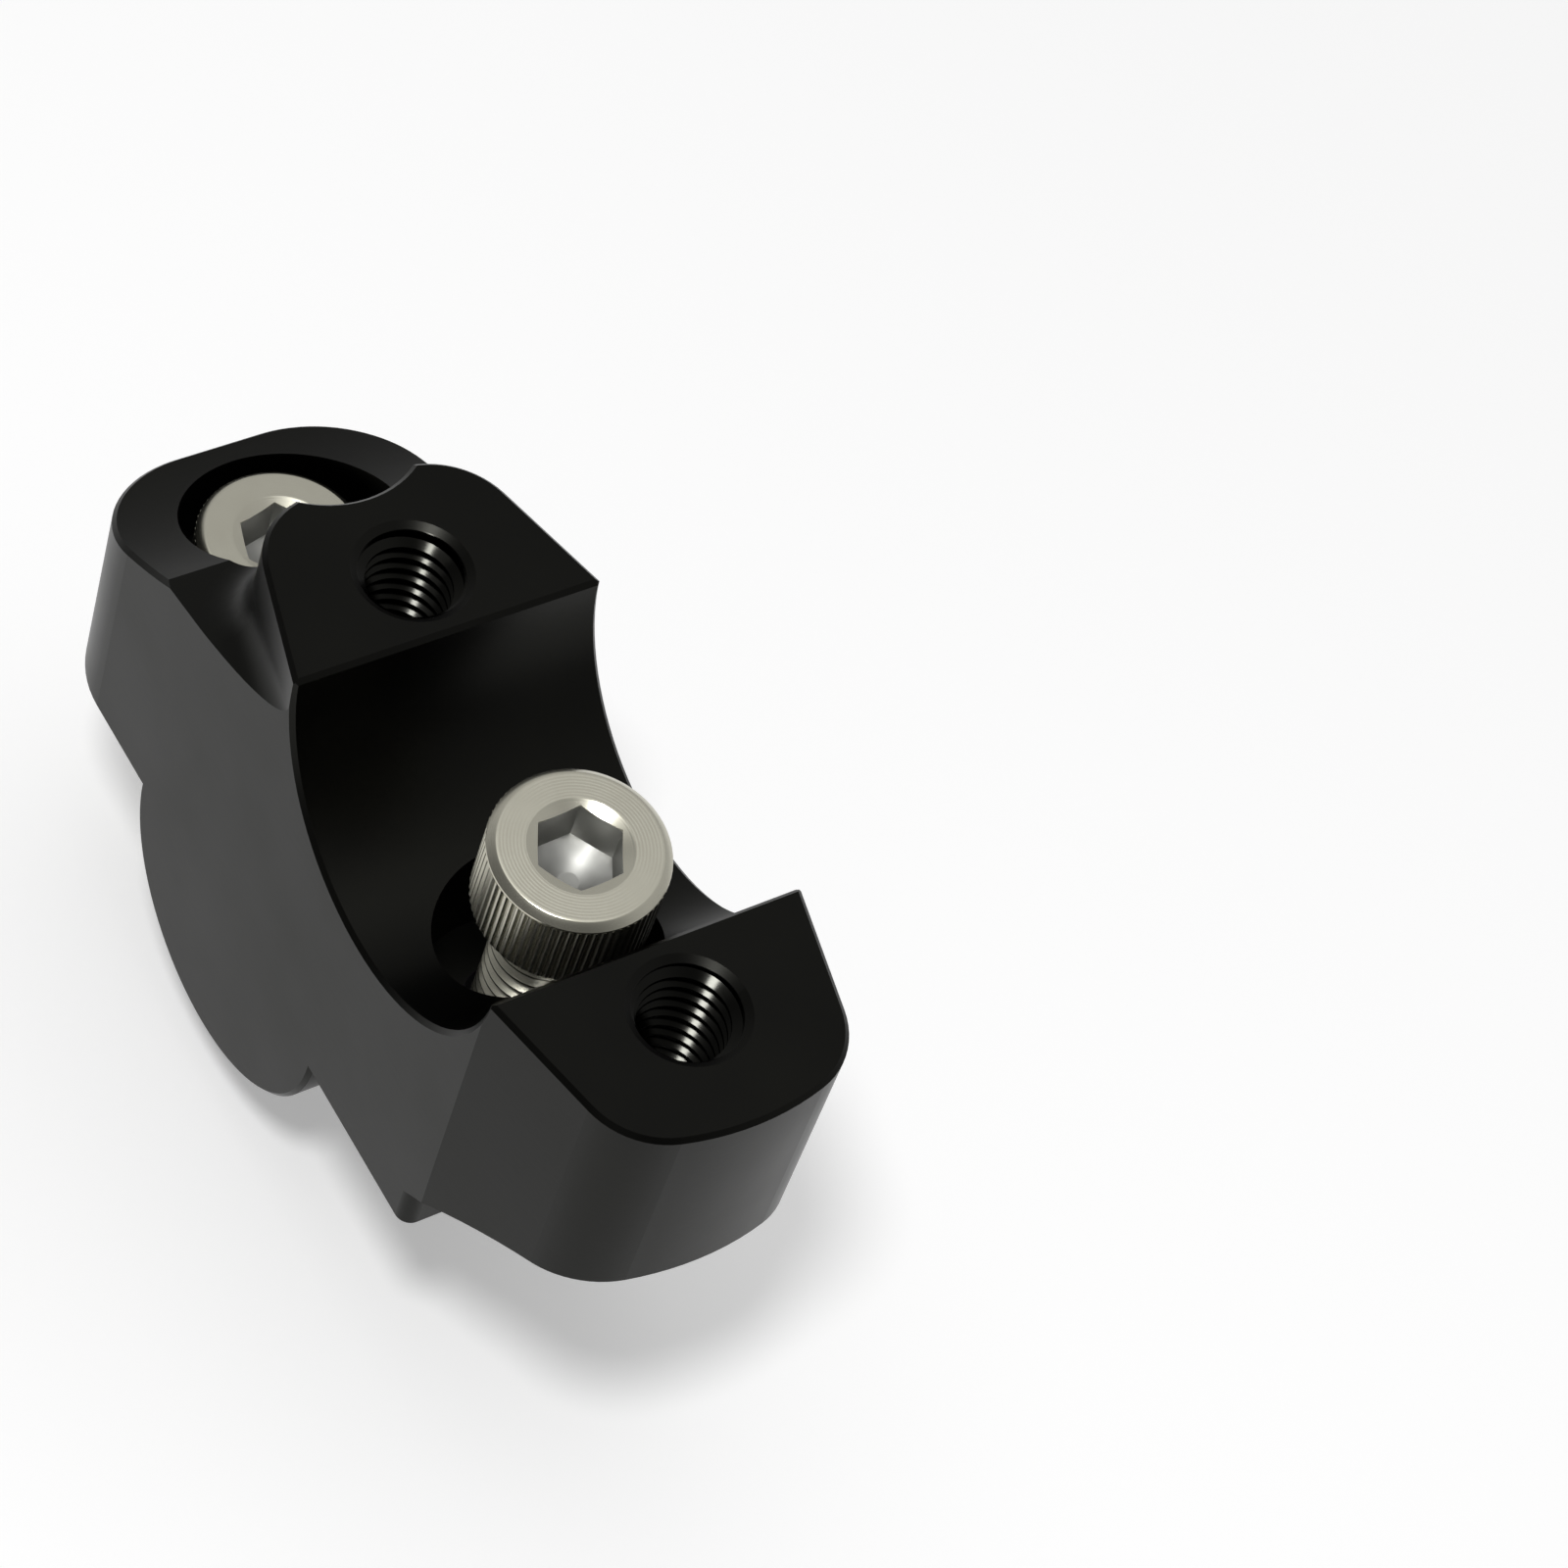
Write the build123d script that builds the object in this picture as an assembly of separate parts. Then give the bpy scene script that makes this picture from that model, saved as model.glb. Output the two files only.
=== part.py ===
from build123d import *
import os
from math import atan, degrees, hypot, radians, sqrt, tan

os.makedirs("parts", exist_ok=True)

# A motorcycle handlebar riser: one machined aluminium block with its two cap screws.
# X runs along the handlebar, +Y points to the shelf end and +Z up along the screws.
# The origin lies on the plane of the clamp faces, midway between the threaded holes.

# The new seat of the handlebar
BAR_D = 28.6            # handlebar at its clamping zone
BAR_OVER_FACE = 0.7     # bar centre above the clamp faces, so that the cap can pinch it
BODY_W = 25.4           # width along the bar
FREE_TAPER = 13.0       # degrees by which the overhanging end narrows
FREE_LAND = 9.7         # from the thread's axis to the rounded tip of that end
BLOCK_TAPER = 15.5      # the same for the clamp block at the shelf end
BLOCK_LAND = 9.3
TIP_R = 20.0            # arc across both tips
TIP_CORNER_R = 6.5      # where it runs into the tapered sides

# The old seat of the handlebar, which the foot of the block fills
RISE = 33.0             # from the old bar centre to the new one
SETBACK = 15.4          # the same, fore and aft
BOSS_FIT = 0.25         # radial clearance of the half round boss in the old seat
FOOT_UNDER_BOSS = 0.4   # flats of the foot below the centre of the boss
FOOT_LAND = 8.6         # from the saddle screw's axis to the foot's upright edge
FOOT_EDGE_H = 4.4       # height of that edge
FOOT_CORNER_R = 1.2

# The overhanging end, cut away underneath
OVERHANG_T = 19.2       # thickness left at its tip
OVERHANG_SAG = 0.9      # hollow of the curved underside

# The shelf, which takes the head of the front screw
SHELF_LAND = 10.5       # from the screw's axis to the end of the shelf
SHELF_CORNER_R = 9.0
CREASE_BACK = 3.7       # from the same axis to the crease where the ledge meets the shelf
CREASE_DROP = 9.8       # depth of that crease under the clamp faces
SHELF_DROP = 16.1       # depth of the shelf at its end
SHELF_SAG = 0.65        # hollow of the shelf
LEDGE_SLOPE = 0.19      # fall of the ledge for each millimetre outwards
LEDGE_FILLET_R = 3.8    # rolled corner between ledge and block

# Screws and their holes
SCREW_BESIDE_BAR = 5.8  # from the side of a bar to a screw's axis, in both seats
SCREW_D = 8.0
SCREW_L = 30.0
HEAD_D = 13.3
HEAD_H = 8.0
HEX_AF = 6.0            # across the flats of the socket
HEX_DEPTH = 4.6
HEX_MOUTH_D = 7.8       # countersink of the socket's mouth
HEX_MOUTH_DEPTH = 0.4
HEAD_EDGE = 0.7         # rounding of the head's rim
SCREW_POINT = 0.9       # chamfer at the screw's tip
HOLE_D = 9.0            # clearance hole
BORE_GAP = 1.55         # radial room round a head
SEAT_DROP = 22.9        # depth of the head seats under the clamp faces
LIFT = 16.6             # the saddle screw stands this much above its seat
LEAN_SHARE = 0.85       # of the play in its hole, which its lean takes up
LEAN_TOWARDS = 233.0    # degrees from +X of the side to which it leans
SADDLE_SCREW_TURN = 8.5 # degrees by which each screw is turned about its own axis
SHELF_SCREW_TURN = 14.0

# Threads for the cap's own screws
THREAD_D = 8.0
THREAD_MOUTH_D = 9.2    # countersink of their mouths
THREAD_MOUTH_DEPTH = 0.4
THREAD_DEPTH = 24.0     # of the blind hole at the shelf end

EDGE = 0.35             # broken edge all round
FAR = 200.0             # longer than anything, for cutting tools

BAR_R = BAR_D / 2
BOSS_R = BAR_R - BOSS_FIT
BOSS_Z = BAR_OVER_FACE - RISE
FOOT_Z = BOSS_Z - FOOT_UNDER_BOSS
MOUTH = sqrt(BAR_R**2 - BAR_OVER_FACE**2)
SHARP = 2 * FREE_TAPER      # degrees between two faces from which their edge is broken
BORE_R = HEAD_D / 2 + BORE_GAP
SCREW_PITCH = BAR_D + 2 * SCREW_BESIDE_BAR
SHELF_SCREW_Y = SETBACK + SCREW_PITCH / 2
SADDLE_SCREW_Y = SETBACK - SCREW_PITCH / 2
FREE_END = SCREW_PITCH / 2 + FREE_LAND
BLOCK_END = SCREW_PITCH / 2 + BLOCK_LAND
SHELF_END = SHELF_SCREW_Y + SHELF_LAND
CREASE_Y = SHELF_SCREW_Y - CREASE_BACK
FOOT_EDGE = FOOT_LAND - SADDLE_SCREW_Y


def tapered_plan(start, tip, taper):
    """Outline of one clamp face seen from above, from a line y = start to its round tip."""
    def side(y):
        return BODY_W / 2 - (y - MOUTH) * tan(radians(taper))

    corner = tip - TIP_R + sqrt(TIP_R**2 - side(tip) ** 2)
    right = Polyline((side(start), start), (side(corner), corner))
    left = Polyline((-side(corner), corner), (-side(start), start), (side(start), start))
    end = ThreePointArc((side(corner), corner), (0, tip), (-side(corner), corner))
    plan = make_face(Curve() + [right, end, left])
    return fillet(plan.vertices().sort_by(Axis.Y)[-2:], TIP_CORNER_R)


def upright(face, low, high):
    """The face, drawn in plan, as a solid between two heights."""
    return Pos(0, 0, low) * extrude(face, high - low)


def side_stock():
    """The whole block seen from the side, before anything is cut out of it."""
    boss_y = sqrt(BOSS_R**2 - (FOOT_Z - BOSS_Z) ** 2)
    edge_top = FOOT_Z + FOOT_EDGE_H
    under_mid = ((-FOOT_EDGE - FREE_END) / 2, (edge_top - OVERHANG_T) / 2 + OVERHANG_SAG)
    shelf_mid = ((CREASE_Y + SHELF_END) / 2, -(CREASE_DROP + SHELF_DROP) / 2 - SHELF_SAG)
    top = Polyline((-FREE_END, -OVERHANG_T), (-FREE_END, 0), (CREASE_Y, 0), (CREASE_Y, -CREASE_DROP))
    shelf = ThreePointArc((CREASE_Y, -CREASE_DROP), shelf_mid, (SHELF_END, -SHELF_DROP))
    back = Polyline((SHELF_END, -SHELF_DROP), (SHELF_END, FOOT_Z), (SETBACK + boss_y, FOOT_Z))
    boss = ThreePointArc(
        (SETBACK + boss_y, FOOT_Z), (SETBACK, BOSS_Z - BOSS_R), (SETBACK - boss_y, FOOT_Z)
    )
    foot = Polyline((SETBACK - boss_y, FOOT_Z), (-FOOT_EDGE, FOOT_Z), (-FOOT_EDGE, edge_top))
    under = ThreePointArc((-FOOT_EDGE, edge_top), under_mid, (-FREE_END, -OVERHANG_T))
    profile = make_face(Curve() + [top, shelf, back, boss, foot, under])
    return extrude(Plane.YZ * profile, BODY_W / 2, both=True)


def plan_stock():
    """The block seen from above: a tapered end, straight sides and a round cornered shelf."""
    tapered_end = mirror(tapered_plan(0, FREE_END, FREE_TAPER), Plane.XZ)
    straight = Pos(0, SHELF_END / 2) * Rectangle(BODY_W, SHELF_END)
    straight = fillet(straight.vertices().group_by(Axis.Y)[-1], SHELF_CORNER_R)
    return upright(tapered_end + straight, -FAR, FAR)


def ledge_cutter():
    """What is milled off round the clamp block at the shelf end, down to the ledge."""
    def ledge(y):
        return -CREASE_DROP - (y - CREASE_Y) * LEDGE_SLOPE

    def at_block_foot(edge):
        ends = [edge @ 0, edge @ 0.5, edge @ 1]
        return all(abs(p.Z - ledge(p.Y)) < 0.001 and abs(p.X) < FAR / 2 - 1 for p in ends)

    near, far = -BAR_R, SHELF_END + BAR_R
    floor = Polyline((near, BOSS_Z), (far, BOSS_Z), (far, ledge(far)), (near, ledge(near)), (near, BOSS_Z))
    bed = extrude(Plane.YZ * make_face(floor), FAR / 2, both=True)
    joined = bed + upright(tapered_plan(near, BLOCK_END, BLOCK_TAPER), BOSS_Z, BAR_R)
    joined = fillet(joined.edges().filter_by(at_block_foot), LEDGE_FILLET_R)
    room = upright(Pos(0, far / 2) * Rectangle(BODY_W * 2, far), BOSS_Z, BAR_R / 2)
    return room - joined


def sharp_edges(block):
    """Outward edges at which two faces meet at an angle that would cut a finger."""
    owners = {}
    for face in block.faces():
        for edge in face.edges():
            owners.setdefault(edge, []).append(face)
    found = ShapeList()
    for edge, faces in owners.items():
        turn = faces[0].normal_at(edge @ 0.5).get_angle(faces[-1].normal_at(edge @ 0.5))
        if turn > SHARP and not edge.is_interior:
            found.append(edge)
    return found


def is_upright(edge):
    return abs(edge.tangent_at(0.5).Z) > 0.999


def stays_sharp(edge):
    """The thin run-out of the ledge into the sides, and the rims of the screw bores."""
    middle = edge @ 0.5
    beside_ledge = MOUTH < middle.Y < CREASE_Y and -CREASE_DROP < middle.Z < -EDGE
    in_bore = [hypot(middle.X, middle.Y - y) < BORE_R + EDGE for y in (SHELF_SCREW_Y, SADDLE_SCREW_Y)]
    return beside_ledge or any(in_bore)


def post(y, radius, low, high):
    """A round upright cutter in the middle plane."""
    return Pos(0, y, low) * Cylinder(radius, high - low, align=(Align.CENTER, Align.CENTER, Align.MIN))


def saddle():
    """The round seat of the bar, with the broken edges of its two rims and of its mouth."""
    seat = Cylinder(BAR_R, BODY_W * 2)
    for end in (-1, 1):
        radii = (BAR_R, BAR_R + EDGE)[::end]
        seat += Pos(0, 0, end * (BODY_W - EDGE) / 2) * Cone(*radii, EDGE)
    wide, narrow = MOUTH + EDGE, MOUTH - EDGE
    left = Polyline((0, EDGE), (-wide, EDGE), (-wide, 0), (-narrow, -2 * EDGE), (0, -2 * EDGE), close=True)
    lip = extrude(Plane.YZ * make_face(left), BODY_W, both=True)
    return Pos(0, 0, BAR_OVER_FACE) * Rot(0, 90, 0) * seat + lip + mirror(lip, Plane.XZ)


def screw_way(y):
    """Bore for a head, which notches the clamp block beside it, and the hole under its seat."""
    return post(y, BORE_R, -SEAT_DROP, BAR_R) + post(y, HOLE_D / 2, -FAR, 0)


def threaded_hole(y, depth):
    """Thread hole with its countersunk mouth."""
    mouth = Cone(THREAD_D / 2, THREAD_MOUTH_D / 2, THREAD_MOUTH_DEPTH)
    sink = Pos(0, y, -THREAD_MOUTH_DEPTH / 2) * mouth
    return post(y, THREAD_D / 2, -depth, 0) + sink


def riser():
    block = side_stock() & plan_stock()
    block -= ledge_cutter()
    block -= screw_way(SHELF_SCREW_Y)
    block -= screw_way(SADDLE_SCREW_Y)
    foot_corners = [e for e in sharp_edges(block) if is_upright(e) and (e @ 0.5).Y < 0]
    block = fillet(foot_corners, FOOT_CORNER_R)
    block = chamfer([e for e in sharp_edges(block) if not stays_sharp(e)], EDGE)
    block -= saddle()
    block -= Pos(0, SHELF_SCREW_Y, -EDGE / 2) * Cone(BORE_R, BORE_R + EDGE, EDGE)
    block -= threaded_hole(SCREW_PITCH / 2, THREAD_DEPTH)
    block -= threaded_hole(-SCREW_PITCH / 2, FAR)
    return block


def cap_screw():
    """Socket head cap screw, standing on its head's underside at z = 0."""
    head = post(0, HEAD_D / 2, 0, HEAD_H)
    head = fillet(head.edges().group_by(Axis.Z)[-1], HEAD_EDGE)
    shank = post(0, SCREW_D / 2, -SCREW_L, 0)
    shank = chamfer(shank.edges().group_by(Axis.Z)[0], SCREW_POINT)
    hexagon = RegularPolygon(HEX_AF / 2, 6, major_radius=False)
    socket = upright(hexagon, HEAD_H - HEX_DEPTH, HEAD_H + HEX_DEPTH)
    mouth = Cone(HEX_AF / 2, HEX_MOUTH_D / 2, HEX_MOUTH_DEPTH)
    return head + shank - socket - Pos(0, 0, HEAD_H - HEX_MOUTH_DEPTH / 2) * mouth


body = riser()
shelf_screw = Pos(0, SHELF_SCREW_Y, -SEAT_DROP) * Rot(0, 0, SHELF_SCREW_TURN) * cap_screw()

# The saddle screw leans about the middle of the stretch of its shank that is in the hole.
in_hole = SCREW_L - LIFT
lean = degrees(atan(LEAN_SHARE * (HOLE_D - SCREW_D) / in_hole))
stand = Pos(0, SADDLE_SCREW_Y, -SEAT_DROP - in_hole / 2) * Rot(0, 0, LEAN_TOWARDS) * Rot(0, lean, 0)
saddle_screw = stand * Pos(0, 0, LIFT + in_hole / 2) * Rot(0, 0, SADDLE_SCREW_TURN) * cap_screw()

pieces = {"riser_block": body, "shelf_screw": shelf_screw, "saddle_screw": saddle_screw}
for name, piece in pieces.items():
    piece.label = name
    export_step(piece, f"parts/{name}.step")
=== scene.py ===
import bmesh
import bpy
from math import atan, cos, pi, radians, sin
from mathutils import Matrix, Quaternion, Vector


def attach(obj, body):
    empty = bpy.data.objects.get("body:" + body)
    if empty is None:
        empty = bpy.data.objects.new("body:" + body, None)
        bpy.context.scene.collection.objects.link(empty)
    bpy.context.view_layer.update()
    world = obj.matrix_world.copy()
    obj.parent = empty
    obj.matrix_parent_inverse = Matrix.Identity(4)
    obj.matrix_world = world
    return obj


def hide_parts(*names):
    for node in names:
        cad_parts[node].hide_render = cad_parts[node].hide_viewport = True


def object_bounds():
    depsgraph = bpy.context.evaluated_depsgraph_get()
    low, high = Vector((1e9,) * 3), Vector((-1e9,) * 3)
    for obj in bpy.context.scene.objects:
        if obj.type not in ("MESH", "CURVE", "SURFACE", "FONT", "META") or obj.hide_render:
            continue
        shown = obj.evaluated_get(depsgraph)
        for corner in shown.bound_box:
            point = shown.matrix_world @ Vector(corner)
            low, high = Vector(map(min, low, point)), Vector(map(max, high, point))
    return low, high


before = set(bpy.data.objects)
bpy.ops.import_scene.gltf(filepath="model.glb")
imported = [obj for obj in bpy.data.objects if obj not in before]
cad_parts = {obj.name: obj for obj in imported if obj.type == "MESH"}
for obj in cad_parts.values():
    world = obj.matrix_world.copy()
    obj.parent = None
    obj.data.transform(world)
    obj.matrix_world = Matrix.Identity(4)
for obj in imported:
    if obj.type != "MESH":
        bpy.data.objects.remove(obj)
cad_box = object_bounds()

# The camera looks down on the riser's near side and its overhanging end, through a long
# lens. It is held askew, because the real riser lay tipped over on its boss and a screw.
AIM = Vector((0.02185, -0.00123, -0.010))
CAMERA_DISTANCE = 0.35748
CAMERA_AZIMUTH = radians(-138.735)
CAMERA_ELEVATION = radians(52.349)
CAMERA_ROLL = radians(21.984)
FOCAL_LENGTH = 111.288
SENSOR_WIDTH = 36.0
NEAREST_SEEN = 0.01


def heading(azimuth, elevation):
    """The unit vector towards a compass direction and a height above the horizon."""
    flat = cos(elevation)
    return Vector((flat * cos(azimuth), flat * sin(azimuth), sin(elevation)))


towards_camera = heading(CAMERA_AZIMUTH, CAMERA_ELEVATION)
camera_level = towards_camera.to_track_quat("Z", "Y")
camera = bpy.data.objects.new("camera", bpy.data.cameras.new("camera"))
camera.data.lens = FOCAL_LENGTH
camera.data.sensor_width = SENSOR_WIDTH
camera.data.clip_start = NEAREST_SEEN
camera.location = AIM + CAMERA_DISTANCE * towards_camera
camera.rotation_euler = (camera_level @ Quaternion((0, 0, 1), CAMERA_ROLL)).to_euler()
bpy.context.scene.collection.objects.link(camera)
bpy.context.scene.camera = camera

# The riser block is milled from one bar of aluminium, its edges are broken with a small
# bevel, and it is then anodised black as a whole, threads and screw seats too.
MM = 0.001
ANODISED_BLACK = "#1c1c1b"
ANODISED_CLOUDED = "#22221f"
ANODISED_ROUGHNESS = 0.34
ANODISED_UNEVEN = 0.03          # by which the roughness wanders
FILM_EDGE_TINT = (0.86, 0.86, 0.86, 1.0)    # the film swallows some light at a slant too
CLOUD_SIZE = 14 * MM            # slow unevenness of the dye
CLOUD_DETAIL = 3.0
CLOUD_LOW, CLOUD_HIGH = 0.3, 0.7            # between which the noise mostly stays
HOLE_BESIDE_CENTRE = 20.1 * MM  # from the saddle's middle to either threaded hole's axis
TAPPED_R = 4.06 * MM            # of what the drill and the tap left smoother
TAPPED_BLEND = 0.05 * MM        # over which that passes into the rest
TAPPED_END = -26.0 * MM         # neither hole reaches deeper
TAPPED_ROUGHNESS = 0.14
CUTTER_STEP = 0.5 * MM          # cutter marks, really near 0.1 mm apart
CUTTER_DETAIL = 2.0
CUTTER_RUN = (1.0, 0.15, 1.0)   # draws them out along the block's length
CUTTER_MARK_DEPTH = 0.002 * MM


def linear(hex_colour):
    """An sRGB hex value as linear red, green, blue and alpha."""
    parts = [int(hex_colour[i:i + 2], 16) / 255 for i in (1, 3, 5)]
    return [c / 12.92 if c <= 0.04045 else ((c + 0.055) / 1.055) ** 2.4 for c in parts] + [1.0]


def node(tree, kind, inputs=None, **settings):
    """Adds a node with its settings. An input is a plain value, a socket to link, or
    another node, whose first output is linked."""
    made = tree.nodes.new(kind)
    for name, value in settings.items():
        setattr(made, name, value)
    for name, value in (inputs or {}).items():
        if isinstance(value, bpy.types.Node):
            value = value.outputs[0]
        if isinstance(value, bpy.types.NodeSocket):
            tree.links.new(value, made.inputs[name])
        else:
            made.inputs[name].default_value = value
    return made


def new_material(name):
    """An empty material and its node tree."""
    material = bpy.data.materials.new(name)
    material.use_nodes = True
    material.node_tree.nodes.clear()
    return material, material.node_tree


def black_anodised(name):
    """Hard black anodising over machined aluminium: a dark dyed film, smooth and satin, so
    that it mirrors pale surroundings softly at a slant and looks black when faced. The dye
    took a little unevenly, the milling left marks that only just break the reflection, and
    the threaded holes came out smoother, with small sharp glints."""
    material, tree = new_material(name)
    place = node(tree, "ShaderNodeTexCoord").outputs["Object"]
    cloud = node(tree, "ShaderNodeTexNoise",
                 {"Vector": place, "Scale": 1 / CLOUD_SIZE, "Detail": CLOUD_DETAIL})
    dye = node(tree, "ShaderNodeMix",
               {"Factor": cloud, "A": linear(ANODISED_BLACK), "B": linear(ANODISED_CLOUDED)},
               data_type="RGBA")
    satin = node(tree, "ShaderNodeMapRange",
                 {"Value": cloud, "From Min": CLOUD_LOW, "From Max": CLOUD_HIGH,
                  "To Min": ANODISED_ROUGHNESS - ANODISED_UNEVEN,
                  "To Max": ANODISED_ROUGHNESS + ANODISED_UNEVEN})
    # The distance from the axis of the threaded hole on the same side of the saddle. The
    # axis stops at the holes' end, so that nothing on the underside counts as tapped.
    part = node(tree, "ShaderNodeSeparateXYZ", {0: place}).outputs
    beside = node(tree, "ShaderNodeMath", {0: part["Y"]}, operation="ABSOLUTE")
    off_axis = node(tree, "ShaderNodeMath", {0: beside, 1: HOLE_BESIDE_CENTRE},
                    operation="SUBTRACT")
    under = node(tree, "ShaderNodeMath", {0: TAPPED_END, 1: part["Z"]}, operation="SUBTRACT")
    below = node(tree, "ShaderNodeMath", {0: under, 1: 0.0}, operation="MAXIMUM")
    away = node(tree, "ShaderNodeCombineXYZ", {0: part["X"], 1: off_axis, 2: below})
    distance = node(tree, "ShaderNodeVectorMath", {0: away}, operation="LENGTH").outputs["Value"]
    tapped = node(tree, "ShaderNodeMapRange",
                  {"Value": distance, "From Min": TAPPED_R - TAPPED_BLEND,
                   "From Max": TAPPED_R, "To Min": TAPPED_ROUGHNESS, "To Max": satin})
    drawn_out = node(tree, "ShaderNodeMapping", {"Vector": place, "Scale": CUTTER_RUN})
    marks = node(tree, "ShaderNodeTexNoise",
                 {"Vector": drawn_out, "Scale": 1 / CUTTER_STEP, "Detail": CUTTER_DETAIL})
    bump = node(tree, "ShaderNodeBump",
                {"Height": marks, "Distance": CUTTER_MARK_DEPTH, "Strength": 1.0})
    film = node(tree, "ShaderNodeBsdfPrincipled",
                {"Base Color": dye.outputs["Result"], "Metallic": 1.0, "Roughness": tapped,
                 "Specular Tint": FILM_EDGE_TINT, "Normal": bump})
    node(tree, "ShaderNodeOutputMaterial", {"Surface": film})
    return material


def paint(piece, material):
    """Gives a whole piece one material."""
    piece.data.materials.clear()
    piece.data.materials.append(material)


anodised_block = black_anodised("black_anodised_aluminium")
paint(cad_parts["riser_block"], anodised_block)

# The threads for the cap's screws, M8 with a pitch of 1.25 mm, one in each clamp face. Each
# is tapped into its drilled hole, which leaves it smoother than the milled faces, and is
# anodised with the block. It is one ridge that winds down the wall of the hole.
THREAD_PITCH = 1.25 * MM
HOLE_R = 4.0 * MM               # the wall that the ridge stands on
TAPPED_RIDGE_HEIGHT = 0.66 * MM
TAPPED_RIDGE_ROOT = 1.08 * MM
TAPPED_RIDGE_CREST = 0.3 * MM
TAPPED_RUN_OUT = 0.4            # turns over which either end sinks into the wall
RIDGE_SUNK = 0.05               # share of its height by which a ridge's foot lies in the wall
THREAD_MOUTH = -0.75 * MM       # middle of the first turn, under the countersink
BLIND_END = -22.0 * MM          # of the thread at the shelf end
THROUGH_END = -26.5 * MM        # of the other one, past the slanting underside
EXIT_HEIGHT = -23.7 * MM        # of that underside at the hole's axis
EXIT_SLOPE = -0.55              # its rise for each millimetre towards +Y
NO_EXIT = -1.0                  # a height far under every thread
STEPS_A_TURN = 40
SHARP_FROM = radians(20)


def new_tree(name, sizes, counts):
    """A geometry tree that takes a mesh in and hands one out. Its named inputs are the
    sizes, the counts and the material."""
    tree = bpy.data.node_groups.new(name, "GeometryNodeTree")
    kinds = {"Geometry": "NodeSocketGeometry", "Material": "NodeSocketMaterial"}
    kinds.update(dict.fromkeys(sizes, "NodeSocketFloat"))
    kinds.update(dict.fromkeys(counts, "NodeSocketInt"))
    for socket, kind in kinds.items():
        tree.interface.new_socket(socket, in_out="INPUT", socket_type=kind)
    tree.interface.new_socket("Geometry", in_out="OUTPUT", socket_type="NodeSocketGeometry")
    return tree, node(tree, "NodeGroupInput").outputs


def hand_out(tree, given, added):
    """Ends a tree: what came in and what was added, as one mesh in one material."""
    joined = node(tree, "GeometryNodeJoinGeometry")
    tree.links.new(given["Geometry"], joined.inputs[0])
    tree.links.new(added.outputs[0], joined.inputs[0])
    real = node(tree, "GeometryNodeRealizeInstances", {"Geometry": joined})
    painted = node(tree, "GeometryNodeSetMaterial",
                   {"Geometry": real, "Material": given["Material"]})
    node(tree, "NodeGroupOutput", {0: painted})


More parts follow.
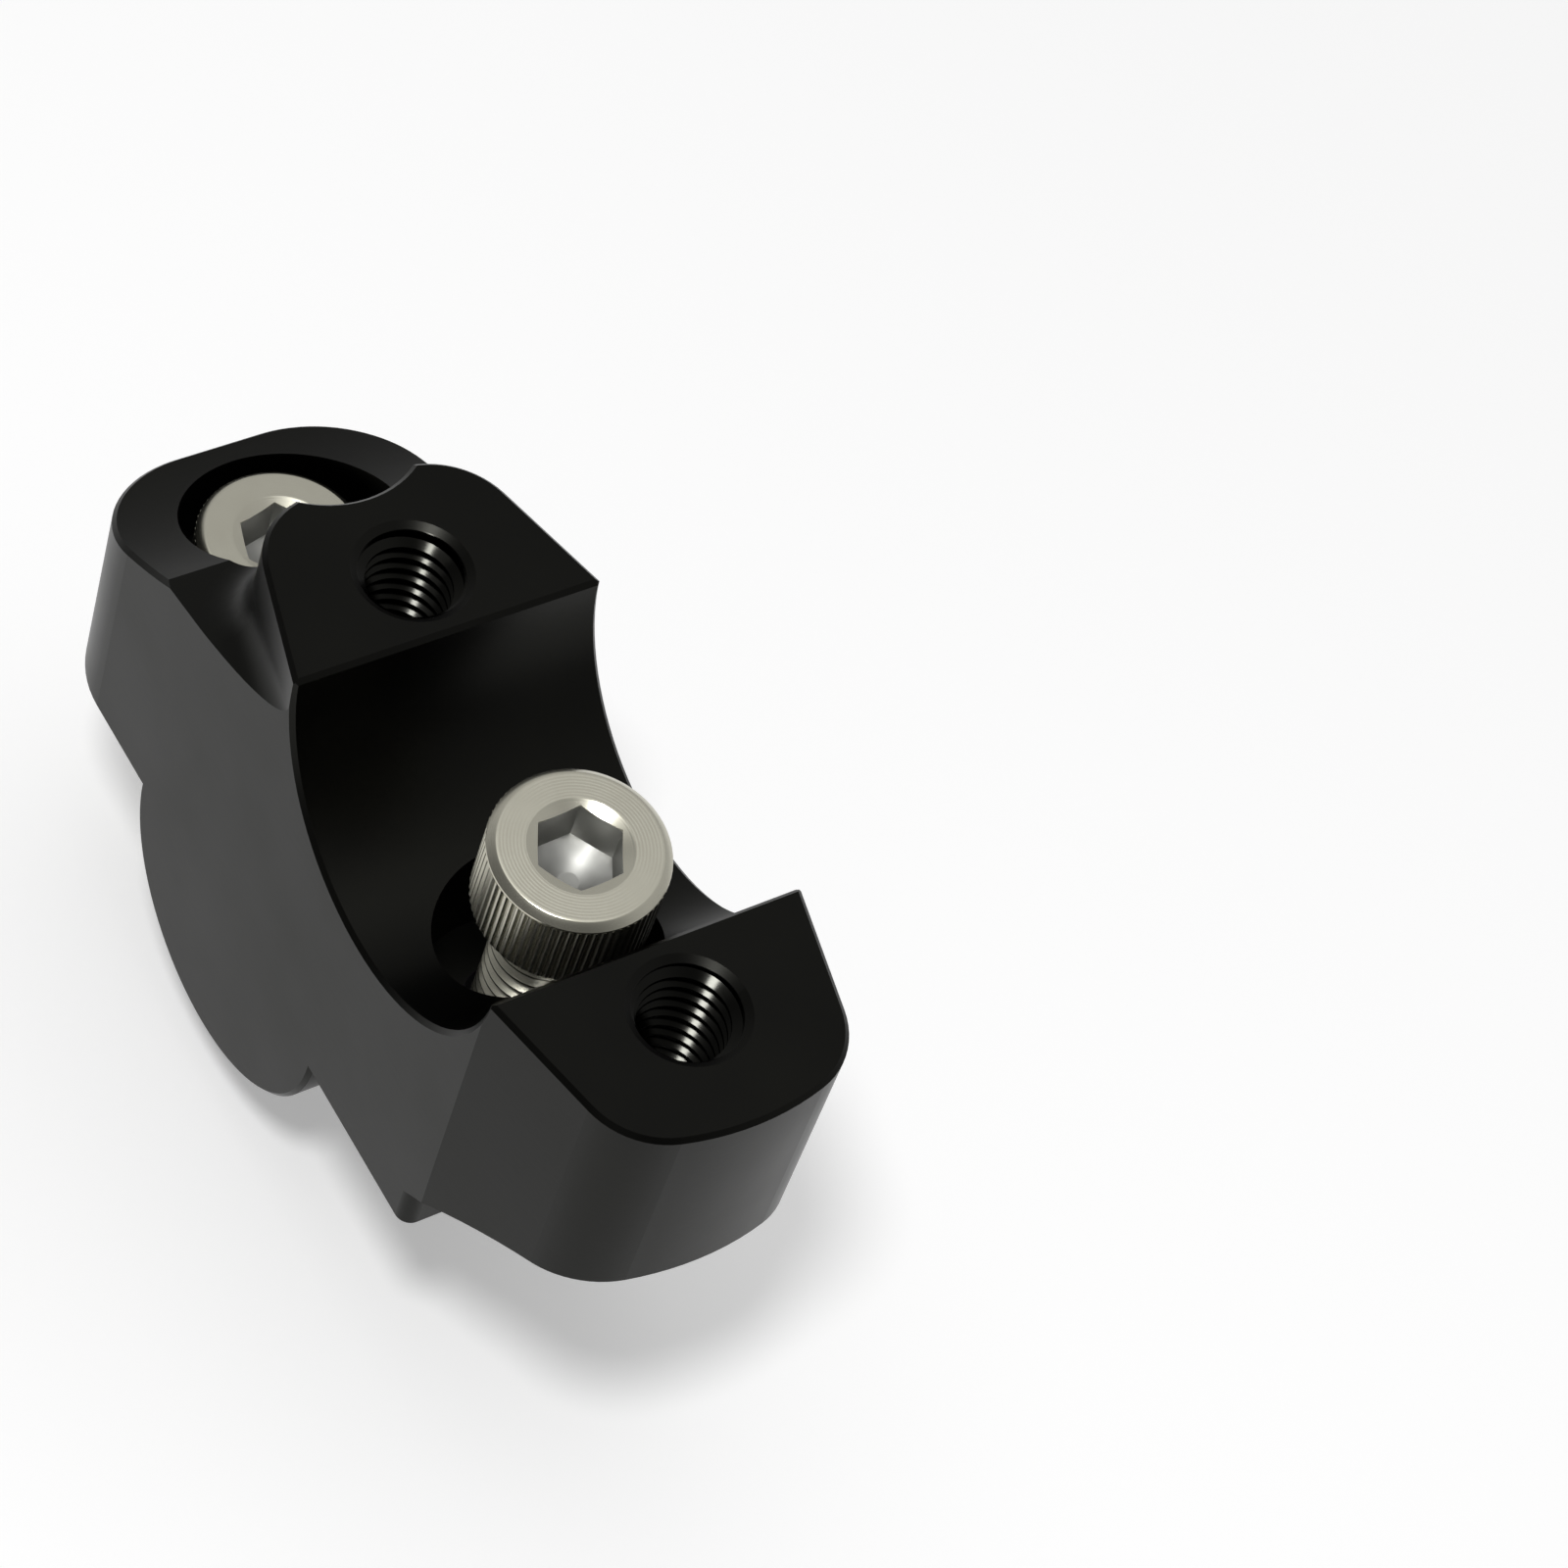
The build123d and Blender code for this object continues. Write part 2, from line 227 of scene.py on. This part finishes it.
def thread_tree():
    """A ridge swept along a right-handed helix. A negative height makes it stand inwards.
    Its ends sink into the wall, and so does any turn that would pass a slanting exit."""
    tree, given = new_tree(
        "thread_ridge",
        ("Radius", "Height", "Root Width", "Crest Width", "Pitch", "Start", "Turns",
         "Run Out Turns", "Exit Height", "Exit Slope"),
        ("Steps a Turn",))
    length = node(tree, "ShaderNodeMath", {0: given["Pitch"], 1: given["Turns"]},
                  operation="MULTIPLY")
    helix = node(tree, "GeometryNodeCurveSpiral",
                 {"Resolution": given["Steps a Turn"], "Rotations": given["Turns"],
                  "Height": length, "Start Radius": given["Radius"],
                  "End Radius": given["Radius"], "Reverse": True})
    # Turns left to the nearer end, as a share of the run-out.
    along = node(tree, "GeometryNodeSplineParameter").outputs["Factor"]
    left = node(tree, "ShaderNodeMath", {0: 1.0, 1: along}, operation="SUBTRACT")
    nearer = node(tree, "ShaderNodeMath", {0: along, 1: left}, operation="MINIMUM")
    turns_left = node(tree, "ShaderNodeMath", {0: nearer, 1: given["Turns"]},
                      operation="MULTIPLY")
    at_ends = node(tree, "ShaderNodeMapRange",
                   {"Value": turns_left, "From Max": given["Run Out Turns"],
                    "To Min": 1.0, "To Max": 0.0}, interpolation_type="SMOOTHSTEP")
    # How far each point lies above the exit, and where it is held back.
    place = node(tree, "GeometryNodeInputPosition")
    part = node(tree, "ShaderNodeSeparateXYZ", {0: place}).outputs
    up = node(tree, "ShaderNodeMath", {0: part["Z"], 1: given["Start"]}, operation="ADD")
    exit_z = node(tree, "ShaderNodeMath",
                  {0: part["Y"], 1: given["Exit Slope"], 2: given["Exit Height"]},
                  operation="MULTIPLY_ADD")
    lowest = node(tree, "ShaderNodeMath", {0: exit_z, 1: given["Root Width"]}, operation="ADD")
    held = node(tree, "ShaderNodeMath", {0: up, 1: lowest}, operation="MAXIMUM")
    above = node(tree, "ShaderNodeMath", {0: up, 1: lowest}, operation="SUBTRACT")
    at_exit = node(tree, "ShaderNodeMapRange",
                   {"Value": above, "From Max": given["Root Width"],
                    "To Min": 1.0, "To Max": 0.0}, interpolation_type="SMOOTHSTEP")
    # The path, moved by the ridge's own height into the wall where it has to sink.
    sunk = node(tree, "ShaderNodeMath", {0: at_ends, 1: at_exit}, operation="MAXIMUM")
    depth = node(tree, "ShaderNodeMath", {0: sunk, 1: given["Height"]}, operation="MULTIPLY")
    radius = node(tree, "ShaderNodeMath", {0: given["Radius"], 1: depth}, operation="SUBTRACT")
    share = node(tree, "ShaderNodeMath", {0: radius, 1: given["Radius"]}, operation="DIVIDE")
    x = node(tree, "ShaderNodeMath", {0: part["X"], 1: share}, operation="MULTIPLY")
    y = node(tree, "ShaderNodeMath", {0: part["Y"], 1: share}, operation="MULTIPLY")
    moved = node(tree, "ShaderNodeCombineXYZ", {0: x, 1: y, 2: held})
    path = node(tree, "GeometryNodeSetPosition", {"Geometry": helix, "Position": moved})
    upright = node(tree, "GeometryNodeSetCurveNormal", {"Curve": path}, mode="Z_UP")
    # The ridge's outline; its X axis points away from the middle of the hole or screw.
    root = node(tree, "ShaderNodeMath", {0: given["Height"], 1: -RIDGE_SUNK},
                operation="MULTIPLY")
    corners = {}
    for point, reach, width, side in (("Point 1", given["Height"], "Crest Width", 0.5),
                                      ("Point 2", given["Height"], "Crest Width", -0.5),
                                      ("Point 3", root, "Root Width", -0.5),
                                      ("Point 4", root, "Root Width", 0.5)):
        half = node(tree, "ShaderNodeMath", {0: given[width], 1: side}, operation="MULTIPLY")
        corners[point] = node(tree, "ShaderNodeCombineXYZ", {0: reach, 1: half})
    outline = node(tree, "GeometryNodeCurvePrimitiveQuadrilateral", corners, mode="POINTS")
    ridge = node(tree, "GeometryNodeCurveToMesh",
                 {"Curve": upright, "Profile Curve": outline, "Fill Caps": True})
    hand_out(tree, given, ridge)
    return tree


def new_piece(name):
    """An object with an empty mesh, in the scene."""
    piece = bpy.data.objects.new(name, bpy.data.meshes.new(name))
    bpy.context.scene.collection.objects.link(piece)
    return piece


def grow(piece, tree, sizes):
    """Lets a geometry tree work on a piece, with its sizes set by socket."""
    worker = piece.modifiers.new(tree.name, "NODES")
    worker.node_group = tree
    for item in tree.interface.items_tree:
        if item.in_out == "INPUT" and item.name in sizes:
            worker[item.identifier] = sizes[item.name]


def made_plain(piece, place):
    """Leaves the piece as its trees made it: a plain closed mesh, put in its place."""
    bpy.context.view_layer.update()
    done = piece.evaluated_get(bpy.context.evaluated_depsgraph_get())
    mesh = bpy.data.meshes.new_from_object(done)
    piece.modifiers.clear()
    mesh.transform(place)
    work = bmesh.new()
    work.from_mesh(mesh)
    bmesh.ops.recalc_face_normals(work, faces=work.faces)
    for face in work.faces:
        face.smooth = True
    work.to_mesh(mesh)
    work.free()
    mesh.set_sharp_from_angle(angle=SHARP_FROM)
    piece.data = mesh


thread_ridge = thread_tree()
for name, y, low, exit_height in (
        ("cap_thread_shelf_end", HOLE_BESIDE_CENTRE, BLIND_END, NO_EXIT),
        ("cap_thread_free_end", -HOLE_BESIDE_CENTRE, THROUGH_END, EXIT_HEIGHT)):
    thread = new_piece(name)
    grow(thread, thread_ridge, {
        "Radius": HOLE_R, "Height": -TAPPED_RIDGE_HEIGHT, "Root Width": TAPPED_RIDGE_ROOT,
        "Crest Width": TAPPED_RIDGE_CREST, "Pitch": THREAD_PITCH, "Start": low,
        "Turns": (THREAD_MOUTH - low) / THREAD_PITCH, "Steps a Turn": STEPS_A_TURN,
        "Run Out Turns": TAPPED_RUN_OUT, "Exit Height": exit_height,
        "Exit Slope": EXIT_SLOPE, "Material": anodised_block})
    made_plain(thread, Matrix.Translation((0, y, 0)))
    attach(thread, "root")

# The two cap screws, M8 x 30 of stainless steel: a cold forged head with a turned top, a
# rolled straight knurl and a pressed hexagon socket, on a rolled thread. One sits home in
# the shelf; the other stands loose and askew in its hole in the saddle's floor.
HEAD_R = 6.65 * MM              # over the knurl
HEAD_H = 8.0 * MM
RIM = ((0.02, 0.65), (0.05, 0.55), (0.3, 0.28), (0.56, 0.06),   # bevelled, and softened at
       (0.61, 0.03), (0.66, 0.01), (0.71, 0.0), (0.75, 0.0))    # the top: mm in, mm down
BARREL_R = 6.42 * MM            # of the head under the knurl
BARREL_TOP = 7.1 * MM           # where it widens to the rim
KNURL_RIDGES = 70
KNURL_DEPTH = 0.25 * MM         # of a ridge, with its foot in the barrel
KNURL_FILL = 0.92               # share of the way round that the ridges' feet take up
KNURL_CREST = 0.3               # width of a crest, as a share of its foot's
KNURL_FOOT_SLOPE = 1.5          # rise of its lower end for each millimetre of depth
KNURL_LOW = 0.35 * MM
KNURL_HIGH = 7.3 * MM           # where it runs out into the rim
SOCKET_AF = 6.0 * MM            # across the flats of the socket
SOCKET_MOUTH_R = 3.9 * MM
SOCKET_MOUTH_DEPTH = 0.4 * MM
SOCKET_WALL_END = 3.9 * MM      # above the underside of the head
SOCKET_POINT = 2.7 * MM         # of the conical bottom, the same, if it weren't blunt
SOCKET_CONE = (2.95, 1.7, 0.85, 0.75)       # radii of its rings, in millimetres
SOCKET_BLUNT_R = 0.82 * MM      # within which it is flat
SHANK_L = 30.0 * MM
SHANK_ROOT_R = 3.24 * MM
TIP_R = 2.6 * MM
TIP_BEVEL = 0.7 * MM
NECK_LOW = -1.6 * MM            # where the root of the thread widens to the neck
NECK = ((3.85, -1.0), (3.9, -0.25),         # from there up and out under the head:
        (4.1, 0.0), (6.0, 0.0))             # radius and height, in millimetres
SCREW_RIDGE_HEIGHT = 0.75 * MM
SCREW_RIDGE_ROOT = 1.08 * MM
SCREW_RIDGE_CREST = 0.17 * MM
SCREW_RUN_OUT = 0.8
SCREW_THREAD_LOW = 0.8 * MM     # from the tip to the middle of the first turn
SCREW_THREAD_L = 28.0 * MM
SEAT_HEIGHT = -22.9 * MM
SHELF_SCREW_Y = 35.5 * MM
SHELF_SCREW_TURN = radians(14)
SADDLE_SCREW_Y = -4.7 * MM
SADDLE_SCREW_TURN = radians(8.5)
LIFT = 16.6 * MM                # of the saddle screw above its seat
LEAN_ASIDE = 0.85 * MM          # over the length of shank that is still in the hole
LEAN = atan(LEAN_ASIDE / (SHANK_L - LIFT))
LEAN_TOWARDS = radians(233)
COLUMNS = 96
STEEL = "#cac8b9"
STEEL_CLOUDED = "#bfbcad"
# painted shade: the socket's walls and bottom get this darker colour
STEEL_SOCKET_SHADE = "#a6a6a2"       # inside the socket
STEEL_ROUGHNESS = 0.27
SOCKET_ROUGHNESS = 0.45         # as pressed
PRESSED_AND_SHADED_R = 0.58 * SOCKET_AF    # just takes in the hexagon's corners
STEEL_CLOUD = 2.5 * MM
STEEL_CLOUD_DETAIL = 4.0
STEEL_CLOUD_RELIEF = 2.0        # as against the rings'
TURNING_STEP = 0.25 * MM        # rings on the head's top, really near 0.05 mm apart
TURNING_DEPTH = 0.0012 * MM
TURNED_FROM = 7.9 * MM          # above the underside of the head


def screw_mesh():
    """One closed skin, from the tip up round the head and down into its socket."""
    outside = [(TIP_R, -SHANK_L), (SHANK_ROOT_R, TIP_BEVEL - SHANK_L), (SHANK_ROOT_R, NECK_LOW)]
    outside += [(radius * MM, height * MM) for radius, height in NECK]
    outside += [(BARREL_R, KNURL_LOW), (BARREL_R, BARREL_TOP)]
    outside += [(HEAD_R - inwards * MM, HEAD_H - down * MM) for inwards, down in RIM]
    outside += [(SOCKET_MOUTH_R, HEAD_H)]
    cone_slope = (SOCKET_WALL_END - SOCKET_POINT) / (SOCKET_AF / 2)
    bottom = [(radius * MM, SOCKET_POINT + cone_slope * max(radius * MM, SOCKET_BLUNT_R))
              for radius in SOCKET_CONE]
    angles = [2 * pi * i / COLUMNS for i in range(COLUMNS)]
    hexagon = [SOCKET_AF / 2 / cos(angle % (pi / 3) - pi / 6) for angle in angles]
    mouth_fall = SOCKET_MOUTH_DEPTH / (SOCKET_MOUTH_R - SOCKET_AF / 2)
    rings = [[(0, -SHANK_L)]]
    rings += [[point] * COLUMNS for point in outside]
    rings.append([(r, HEAD_H - mouth_fall * (SOCKET_MOUTH_R - r)) for r in hexagon])
    rings.append([(r, SOCKET_WALL_END) for r in hexagon])
    rings += [[point] * COLUMNS for point in bottom]
    rings.append([(0, bottom[-1][1])])
    work = bmesh.new()
    rows = []
    for ring in rings:
        rows.append([work.verts.new((r * cos(angle), r * sin(angle), z))
                     for angle, (r, z) in zip(angles, ring)])
    for low, high in zip(rows, rows[1:]):
        for i in range(COLUMNS):
            around = (low[i % len(low)], low[(i + 1) % len(low)],
                      high[(i + 1) % len(high)], high[i % len(high)])
            work.faces.new(dict.fromkeys(around))    # a pole's one point counts once
    mesh = bpy.data.meshes.new("cap_screw")
    work.to_mesh(mesh)
    work.free()
    return mesh


def knurl_tree():
    """Ridges set upright round a head, each narrowed to its crest and sloped at its foot."""
    tree, given = new_tree(
        "straight_knurl",
        ("Radius", "Depth", "Low", "High", "Ridge Width", "Crest Share", "Foot Slope"),
        ("Ridges",))
    # One ridge, lying with its depth along X, and its outer side shaped to the crest.
    height = node(tree, "ShaderNodeMath", {0: given["High"], 1: given["Low"]},
                  operation="SUBTRACT")
    size = node(tree, "ShaderNodeCombineXYZ",
                {0: given["Depth"], 1: given["Ridge Width"], 2: height})
    bar = node(tree, "GeometryNodeMeshCube", {"Size": size})
    place = node(tree, "GeometryNodeInputPosition")
    part = node(tree, "ShaderNodeSeparateXYZ", {0: place}).outputs
    outer = node(tree, "FunctionNodeCompare", {0: part["X"], 1: 0.0}, operation="GREATER_THAN")
    narrowed = node(tree, "ShaderNodeMath", {0: part["Y"], 1: given["Crest Share"]},
                    operation="MULTIPLY")
    foot = node(tree, "ShaderNodeMath", {0: height, 1: -0.5}, operation="MULTIPLY")
    crest_foot = node(tree, "ShaderNodeMath",
                      {0: given["Depth"], 1: given["Foot Slope"], 2: foot},
                      operation="MULTIPLY_ADD")
    sloped = node(tree, "ShaderNodeMath", {0: part["Z"], 1: crest_foot}, operation="MAXIMUM")
    crest = node(tree, "ShaderNodeCombineXYZ", {0: part["X"], 1: narrowed, 2: sloped})
    ridge = node(tree, "GeometryNodeSetPosition",
                 {"Geometry": bar, "Selection": outer, "Position": crest})
    # Set round the head, each facing away from its axis.
    half_depth = node(tree, "ShaderNodeMath", {0: given["Depth"], 1: 0.5}, operation="MULTIPLY")
    middle_r = node(tree, "ShaderNodeMath", {0: given["Radius"], 1: half_depth},
                    operation="SUBTRACT")
    circle = node(tree, "GeometryNodeMeshCircle",
                  {"Vertices": given["Ridges"], "Radius": middle_r})
    facing = node(tree, "FunctionNodeAlignRotationToVector", {"Vector": place},
                  axis="X", pivot_axis="Z")
    placed = node(tree, "GeometryNodeInstanceOnPoints",
                  {"Points": circle, "Instance": ridge, "Rotation": facing})
    both_ends = node(tree, "ShaderNodeMath", {0: given["High"], 1: given["Low"]},
                     operation="ADD")
    middle_z = node(tree, "ShaderNodeMath", {0: both_ends, 1: 0.5}, operation="MULTIPLY")
    raised = node(tree, "ShaderNodeCombineXYZ", {2: middle_z})
    knurl = node(tree, "GeometryNodeTransform", {"Geometry": placed, "Translation": raised})
    hand_out(tree, given, knurl)
    return tree


def stainless(name, place):
    """Stainless steel as forged and turned: a warm light grey metal with a soft shine. The
    top of the head was faced in a lathe, which draws the light out into faint rings."""
    material, tree = new_material(name)
    spot, turn, _ = place.decompose()
    coordinates = node(tree, "ShaderNodeTexCoord").outputs["Object"]
    own = node(tree, "ShaderNodeMapping",
               {"Vector": coordinates, "Location": spot, "Rotation": turn.to_euler()},
               vector_type="TEXTURE")
    cloud = node(tree, "ShaderNodeTexNoise",
                 {"Vector": own, "Scale": 1 / STEEL_CLOUD, "Detail": STEEL_CLOUD_DETAIL})
    worked = node(tree, "ShaderNodeMix",
                  {"Factor": cloud, "A": linear(STEEL), "B": linear(STEEL_CLOUDED)},
                  data_type="RGBA")
    # The rings on the top of the head, round the screw's own axis.
    part = node(tree, "ShaderNodeSeparateXYZ", {0: own}).outputs
    flat = node(tree, "ShaderNodeCombineXYZ", {0: part["X"], 1: part["Y"]})
    out = node(tree, "ShaderNodeVectorMath", {0: flat}, operation="LENGTH").outputs["Value"]
    phase = node(tree, "ShaderNodeMath", {0: out, 1: 2 * pi / TURNING_STEP},
                 operation="MULTIPLY")
    wave = node(tree, "ShaderNodeMath", {0: phase}, operation="SINE")
    on_top = node(tree, "ShaderNodeMath", {0: part["Z"], 1: TURNED_FROM},
                  operation="GREATER_THAN")
    rings = node(tree, "ShaderNodeMath", {0: wave, 1: on_top}, operation="MULTIPLY")
    relief = node(tree, "ShaderNodeMath", {0: cloud, 1: STEEL_CLOUD_RELIEF, 2: rings},
                  operation="MULTIPLY_ADD")
    bump = node(tree, "ShaderNodeBump",
                {"Height": relief, "Distance": TURNING_DEPTH, "Strength": 1.0})
    # The pressed socket, below its mouth: duller as pressed, and painted darker as shade in its
    # recess.
    inside = node(tree, "ShaderNodeMath", {0: out, 1: PRESSED_AND_SHADED_R}, operation="LESS_THAN")
    deep = node(tree, "ShaderNodeMath",
                {0: part["Z"], 1: HEAD_H / 2, 2: HEAD_H / 2 - SOCKET_MOUTH_DEPTH},
                operation="COMPARE")
    pressed_and_shaded = node(tree, "ShaderNodeMath", {0: inside, 1: deep}, operation="MULTIPLY")
    tint = node(tree, "ShaderNodeMix",
                {"Factor": pressed_and_shaded, "A": worked.outputs["Result"], "B": linear(STEEL_SOCKET_SHADE)},
                data_type="RGBA")
    polish = node(tree, "ShaderNodeMapRange",
                  {"Value": pressed_and_shaded, "To Min": STEEL_ROUGHNESS, "To Max": SOCKET_ROUGHNESS})
    metal = node(tree, "ShaderNodeBsdfPrincipled",
                 {"Base Color": tint.outputs["Result"], "Metallic": 1.0, "Roughness": polish,
                  "Normal": bump})
    node(tree, "ShaderNodeOutputMaterial", {"Surface": metal})
    return material


bare_screw = screw_mesh()
straight_knurl = knurl_tree()
in_hole = SHANK_L - LIFT
seat = Matrix.Translation((0, SHELF_SCREW_Y, SEAT_HEIGHT))
shelf_place = seat @ Matrix.Rotation(SHELF_SCREW_TURN, 4, "Z")
hole_middle = Matrix.Translation((0, SADDLE_SCREW_Y, SEAT_HEIGHT - in_hole / 2))
leaned = Matrix.Rotation(LEAN_TOWARDS, 4, "Z") @ Matrix.Rotation(LEAN, 4, "Y")
up_to_head = Matrix.Translation((0, 0, LIFT + in_hole / 2))
saddle_place = hole_middle @ leaned @ up_to_head @ Matrix.Rotation(SADDLE_SCREW_TURN, 4, "Z")
for name, place in (("shelf_screw", shelf_place), ("saddle_screw", saddle_place)):
    screw = new_piece("turned_" + name)
    screw.data = bare_screw.copy()
    steel = stainless("stainless_steel_" + name, place)
    grow(screw, thread_ridge, {
        "Radius": SHANK_ROOT_R, "Height": SCREW_RIDGE_HEIGHT, "Root Width": SCREW_RIDGE_ROOT,
        "Crest Width": SCREW_RIDGE_CREST, "Pitch": THREAD_PITCH,
        "Start": SCREW_THREAD_LOW - SHANK_L, "Turns": SCREW_THREAD_L / THREAD_PITCH,
        "Steps a Turn": STEPS_A_TURN, "Run Out Turns": SCREW_RUN_OUT, "Exit Height": NO_EXIT,
        "Exit Slope": 0.0, "Material": steel})
    grow(screw, straight_knurl, {
        "Radius": HEAD_R, "Depth": KNURL_DEPTH, "Ridges": KNURL_RIDGES, "Low": KNURL_LOW,
        "High": KNURL_HIGH, "Ridge Width": 2 * pi * HEAD_R / KNURL_RIDGES * KNURL_FILL,
        "Crest Share": KNURL_CREST, "Foot Slope": KNURL_FOOT_SLOPE, "Material": steel})
    made_plain(screw, place)
    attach(screw, "root")
    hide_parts(name)
    paint(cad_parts[name], steel)

# The studio: a wide pale floor that keeps the shadow, a room that is pale beyond the riser
# and darker on the camera's side, and two soft lamps, the key one beside the camera.
FLOOR_SIZE = 4.0
FLOOR_PALE = "#e6e6e6"
FLOOR_GLOW = 0.3                # for the camera and for reflections only
FAR_GLOW = 0.42                 # more of it for the camera, where the lamps no longer reach
LAMPS_REACH = 1.2
BACK_WALL = radians(25)         # direction of the pale side of the room
PALE_SIDE, DARK_SIDE = 0.55, 0.15
PALE_WITHIN, DARK_BEYOND = 0.4, -0.55       # cosines of the angle from that direction
RISER_MIDDLE = Vector((0, 0.008, -0.02))

half = FLOOR_SIZE / 2
floor_z = cad_box[0][2]
corners = ((-half, -half), (half, -half), (half, half), (-half, half))
floor = new_piece("floor")
floor.data.from_pydata([(x, y, floor_z) for x, y in corners], [], [(0, 1, 2, 3)])
matt_floor, tree = new_material("matt_pale_floor")
path = node(tree, "ShaderNodeLightPath").outputs
sharp = node(tree, "ShaderNodeMath", {0: path["Is Camera Ray"], 1: path["Is Glossy Ray"]},
             operation="MAXIMUM")
seen = node(tree, "ShaderNodeMath", {0: sharp, 1: path["Is Transmission Ray"]},
            operation="MAXIMUM")
place = node(tree, "ShaderNodeTexCoord").outputs["Object"]
away = node(tree, "ShaderNodeVectorMath", {0: place}, operation="LENGTH").outputs["Value"]
beyond = node(tree, "ShaderNodeMapRange",
              {"Value": away, "From Max": LAMPS_REACH, "To Max": FAR_GLOW},
              interpolation_type="SMOOTHSTEP")
far_glow = node(tree, "ShaderNodeMath", {0: path["Is Camera Ray"], 1: beyond},
                operation="MULTIPLY")
strength = node(tree, "ShaderNodeMath", {0: seen, 1: FLOOR_GLOW, 2: far_glow},
                operation="MULTIPLY_ADD")
glow = node(tree, "ShaderNodeEmission", {"Color": (1, 1, 1, 1), "Strength": strength})
paper = node(tree, "ShaderNodeBsdfDiffuse", {"Color": linear(FLOOR_PALE)})
both = node(tree, "ShaderNodeAddShader", {0: glow, 1: paper})
node(tree, "ShaderNodeOutputMaterial", {"Surface": both})
paint(floor, matt_floor)


def lamp(name, azimuth, elevation, distance, width, watts):
    """A round soft lamp, turned towards the middle of the riser. Angles in degrees."""
    light = bpy.data.lights.new(name, "AREA")
    light.shape = "DISK"
    light.size = width
    light.energy = watts
    thing = bpy.data.objects.new(name, light)
    away = heading(radians(azimuth), radians(elevation))
    thing.location = RISER_MIDDLE + distance * away
    thing.rotation_euler = away.to_track_quat("Z", "Y").to_euler()
    bpy.context.scene.collection.objects.link(thing)


lamp("key", azimuth=-150, elevation=67, distance=0.6, width=0.1, watts=1.8)
lamp("overhead", azimuth=120, elevation=82, distance=1.0, width=0.9, watts=1.3)

world = bpy.data.worlds.new("studio")
bpy.context.scene.world = world
world.use_nodes = True
tree = world.node_tree
tree.nodes.clear()
direction = node(tree, "ShaderNodeTexCoord").outputs["Generated"]
towards_wall = node(tree, "ShaderNodeVectorMath", {0: direction, 1: heading(BACK_WALL, 0)},
                    operation="DOT_PRODUCT").outputs["Value"]
room = node(tree, "ShaderNodeMapRange",
            {"Value": towards_wall, "From Min": DARK_BEYOND, "From Max": PALE_WITHIN,
             "To Min": DARK_SIDE, "To Max": PALE_SIDE}, interpolation_type="SMOOTHSTEP")
to_camera = node(tree, "ShaderNodeLightPath").outputs["Is Camera Ray"]
strength = node(tree, "ShaderNodeMath", {0: to_camera, 1: room}, operation="MAXIMUM")
backdrop = node(tree, "ShaderNodeBackground", {"Color": (1, 1, 1, 1), "Strength": strength})
node(tree, "ShaderNodeOutputWorld", {"Surface": backdrop})
bpy.context.scene.view_settings.view_transform = "Standard"
